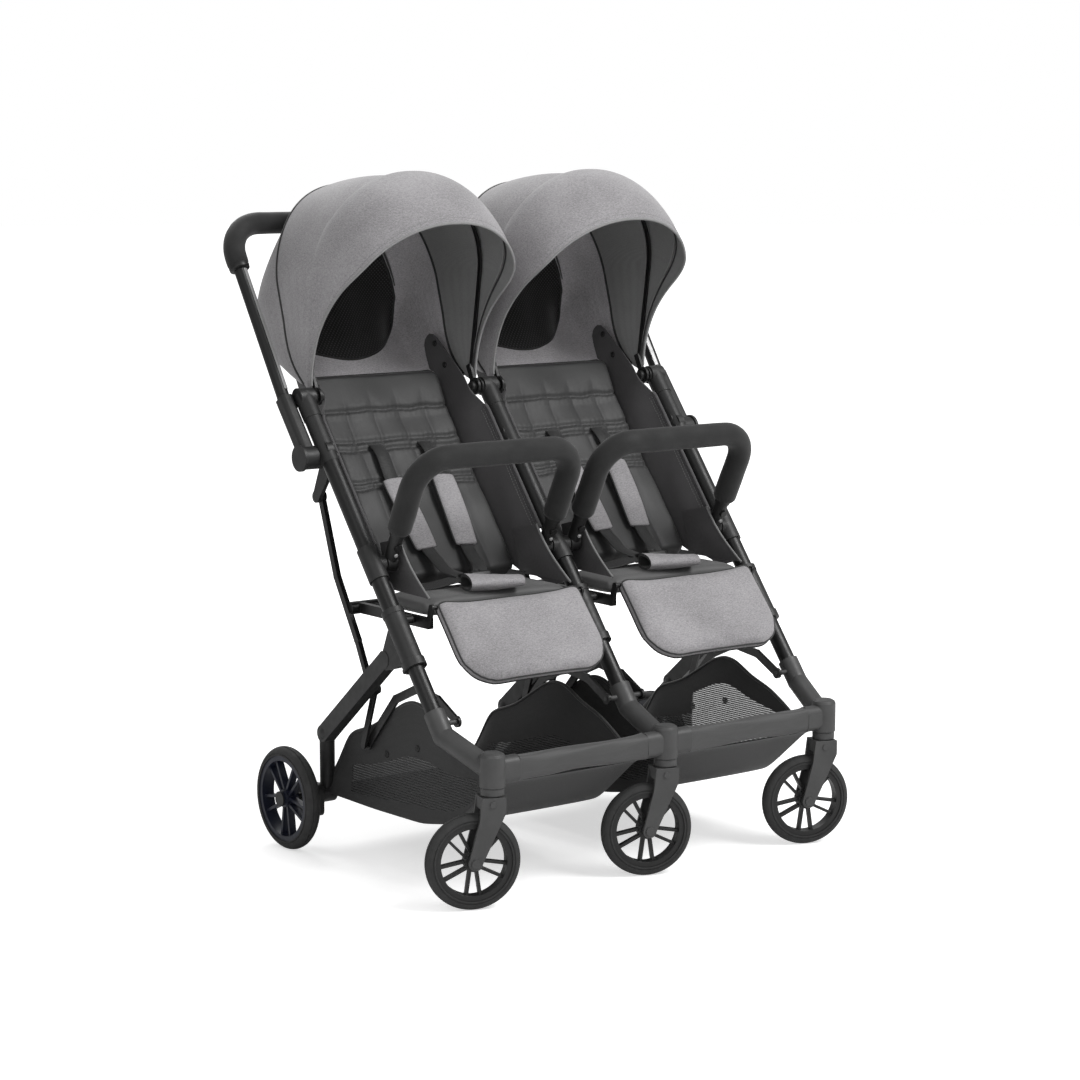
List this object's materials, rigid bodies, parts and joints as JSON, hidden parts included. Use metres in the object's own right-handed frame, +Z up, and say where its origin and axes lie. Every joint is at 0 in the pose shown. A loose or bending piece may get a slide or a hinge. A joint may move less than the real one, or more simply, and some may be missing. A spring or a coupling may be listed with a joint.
{
  "type": "side by side double stroller",
  "caption": "Side by side double pushchair with canopies, reclining seats, bumper bars, swivelling front wheels, cloth baskets and a folding push handle.",
  "frame": {"origin": "on the floor, in the middle plane, straight below the middle front swivel axis", "axes": "+X to the right as seen from the front, +Y from the front wheels to the rear wheels, +Z up"},
  "size_m": [0.8145, 0.6863, 1.07],
  "materials": {
    "frame_metal": "satin charcoal paint",
    "moulding": "fine grained charcoal plastic",
    "black_plastic": "matte black plastic",
    "foam": "matte foam sleeve",
    "melange": "grey melange weave",
    "dark_cloth": "dark grey cloth",
    "tyre": "dark grey tyre"
  },
  "bodies": {
    "main_frame": {"front_tube_left": "frame_metal", "front_tube_centre": "frame_metal", "front_tube_right": "frame_metal", "rear_leg_left": "moulding", "rear_leg_centre": "moulding", "rear_leg_right": "moulding", "rear_axle": "frame_metal", "brake_housings": "moulding", "strut_frame": "frame_metal", "joint_housings": "moulding", "bumper_mounts": "moulding", "pivot_caps": "moulding", "basket": "dark_cloth", "seat_hammock_left": "dark_cloth", "seat_hammock_right": "dark_cloth", "canopy_rear_left": "melange", "canopy_rear_right": "melange", "buckle_left": "black_plastic", "buckle_right": "black_plastic"},
    "handle": {"handle_tube": "frame_metal", "handle_grip": "foam", "handle_joints": "moulding"},
    "fold_trigger": {"fold_trigger": "black_plastic"},
    "undercarriage": {"front_legs": "frame_metal", "caster_housings": "moulding", "front_crossbars": "dark_cloth"},
    "arch_links": {"arch_links": "frame_metal"},
    "rocker_links": {"rocker_links": "frame_metal"},
    "brake_pedal": {"brake_pedal": "moulding"},
    "caster_fork_left": {"caster_fork_left": "moulding"},
    "caster_wheel_left": {"caster_rim_left": "moulding", "caster_tyre_left": "tyre"},
    "caster_fork_centre": {"caster_fork_centre": "moulding"},
    "caster_wheel_centre": {"caster_rim_centre": "moulding", "caster_tyre_centre": "tyre"},
    "caster_fork_right": {"caster_fork_right": "moulding"},
    "caster_wheel_right": {"caster_rim_right": "moulding", "caster_tyre_right": "tyre"},
    "rear_wheel_left": {"rear_rim_left": "moulding", "rear_tyre_left": "tyre"},
    "bumper_left": {"bumper_bar_left": "black_plastic", "bumper_grip_left": "foam"},
    "bumper_buttons_left": {"bumper_buttons_left": "moulding"},
    "backrest_left": {"backrest_left": "dark_cloth", "harness_left": "melange"},
    "calf_rest_left": {"calf_rest_left": "melange"},
    "canopy_left": {"canopy_front_left": "melange", "canopy_bow_left": "black_plastic"},
    "buckle_button_left": {"buckle_button_left": "moulding"},
    "rear_wheel_right": {"rear_rim_right": "moulding", "rear_tyre_right": "tyre"},
    "bumper_right": {"bumper_bar_right": "black_plastic", "bumper_grip_right": "foam"},
    "bumper_buttons_right": {"bumper_buttons_right": "moulding"},
    "backrest_right": {"backrest_right": "dark_cloth", "harness_right": "melange"},
    "calf_rest_right": {"calf_rest_right": "melange"},
    "canopy_right": {"canopy_front_right": "melange", "canopy_bow_right": "black_plastic"},
    "buckle_button_right": {"buckle_button_right": "moulding"}
  },
  "joints": [
    {"name": "handle_fold", "type": "hinge", "parent": "main_frame", "child": "handle", "pos_m": [0, 0.40841, 0.62796], "axis": [-1, 0, 0], "range_deg": [0, 140], "deforming": ["basket"]},
    {"name": "fold_trigger_press", "type": "slide", "parent": "handle", "child": "fold_trigger", "axis": [0, 0.5388, 0.8425], "range_m": [0, 0.003], "stiffness_N_per_m": 400, "springref_m": -0.001},
    {"name": "leg_slide", "type": "slide", "parent": "main_frame", "child": "undercarriage", "axis": [0, 0.6157, 0.788], "range_m": [0, 0.06]},
    {"name": "arch_turn", "type": "hinge", "parent": "undercarriage", "child": "arch_links", "pos_m": [0, 0.10028, 0.25956], "axis": [1, 0, 0], "range_deg": [-9.01, 0]},
    {"name": "rocker_turn", "type": "hinge", "parent": "main_frame", "child": "rocker_links", "pos_m": [0, 0.30308, 0.27792], "axis": [1, 0, 0], "range_deg": [0, 14.61]},
    {"name": "brake_press", "type": "hinge", "parent": "main_frame", "child": "brake_pedal", "pos_m": [0.224, 0.479, 0.082], "axis": [-1, 0, 0], "range_deg": [0, 18]},
    {"name": "caster_swivel_left", "type": "hinge", "parent": "undercarriage", "child": "caster_fork_left", "pos_m": [-0.326, 0, 0.19], "axis": [0, 0, 1], "continuous": true},
    {"name": "caster_roll_left", "type": "hinge", "parent": "caster_fork_left", "child": "caster_wheel_left", "pos_m": [-0.35401, 0.01075, 0.072], "axis": [0.3584, 0.9336, 0], "continuous": true},
    {"name": "caster_swivel_centre", "type": "hinge", "parent": "undercarriage", "child": "caster_fork_centre", "pos_m": [0, 0, 0.19], "axis": [0, 0, 1], "continuous": true},
    {"name": "caster_roll_centre", "type": "hinge", "parent": "caster_fork_centre", "child": "caster_wheel_centre", "pos_m": [-0.02801, 0.01075, 0.072], "axis": [0.3584, 0.9336, 0], "continuous": true},
    {"name": "caster_swivel_right", "type": "hinge", "parent": "undercarriage", "child": "caster_fork_right", "pos_m": [0.326, 0, 0.19], "axis": [0, 0, 1], "continuous": true},
    {"name": "caster_roll_right", "type": "hinge", "parent": "caster_fork_right", "child": "caster_wheel_right", "pos_m": [0.29799, 0.01075, 0.072], "axis": [0.3584, 0.9336, 0], "continuous": true},
    {"name": "rear_roll_left", "type": "hinge", "parent": "main_frame", "child": "rear_wheel_left", "pos_m": [-0.374, 0.479, 0.082], "axis": [1, 0, 0], "continuous": true},
    {"name": "bumper_swing_left", "type": "hinge", "parent": "main_frame", "child": "bumper_left", "pos_m": [-0.175, 0.26801, 0.4775], "axis": [-1, 0, 0], "range_deg": [-50, 0]},
    {"name": "bumper_button_press_left", "type": "slide", "parent": "bumper_left", "child": "bumper_buttons_left", "axis": [0, 0.891, 0.454], "range_m": [0, 0.002], "stiffness_N_per_m": 300, "springref_m": -0.001},
    {"name": "backrest_recline_left", "type": "hinge", "parent": "main_frame", "child": "backrest_left", "pos_m": [-0.175, 0.318, 0.43], "axis": [1, 0, 0], "range_deg": [-35, 0]},
    {"name": "calf_lift_left", "type": "hinge", "parent": "main_frame", "child": "calf_rest_left", "pos_m": [-0.175, 0.165, 0.421], "axis": [1, 0, 0], "range_deg": [-45, 0]},
    {"name": "canopy_turn_left", "type": "hinge", "parent": "main_frame", "child": "canopy_left", "pos_m": [-0.175, 0.45675, 0.71582], "axis": [1, 0, 0], "range_deg": [-18, 18]},
    {"name": "buckle_press_left", "type": "slide", "parent": "main_frame", "child": "buckle_button_left", "axis": [0, -0.2419, -0.9703], "range_m": [0, 0.002], "stiffness_N_per_m": 300, "springref_m": -0.001},
    {"name": "rear_roll_right", "type": "hinge", "parent": "main_frame", "child": "rear_wheel_right", "pos_m": [0.374, 0.479, 0.082], "axis": [1, 0, 0], "continuous": true},
    {"name": "bumper_swing_right", "type": "hinge", "parent": "main_frame", "child": "bumper_right", "pos_m": [0.175, 0.26801, 0.4775], "axis": [-1, 0, 0], "range_deg": [-50, 0]},
    {"name": "bumper_button_press_right", "type": "slide", "parent": "bumper_right", "child": "bumper_buttons_right", "axis": [0, 0.891, 0.454], "range_m": [0, 0.002], "stiffness_N_per_m": 300, "springref_m": -0.001},
    {"name": "backrest_recline_right", "type": "hinge", "parent": "main_frame", "child": "backrest_right", "pos_m": [0.175, 0.318, 0.43], "axis": [1, 0, 0], "range_deg": [-35, 0]},
    {"name": "calf_lift_right", "type": "hinge", "parent": "main_frame", "child": "calf_rest_right", "pos_m": [0.175, 0.165, 0.421], "axis": [1, 0, 0], "range_deg": [-45, 0]},
    {"name": "canopy_turn_right", "type": "hinge", "parent": "main_frame", "child": "canopy_right", "pos_m": [0.175, 0.45675, 0.71582], "axis": [1, 0, 0], "range_deg": [-18, 18]},
    {"name": "buckle_press_right", "type": "slide", "parent": "main_frame", "child": "buckle_button_right", "axis": [0, -0.2419, -0.9703], "range_m": [0, 0.002], "stiffness_N_per_m": 300, "springref_m": -0.001}
  ],
  "couplings": [
    {"joint": "leg_slide", "follows": "handle_fold", "m_per_rad": 0.024555},
    {"joint": "arch_turn", "follows": "handle_fold", "ratio": -0.0643},
    {"joint": "rocker_turn", "follows": "handle_fold", "ratio": 0.1043}
  ]
}
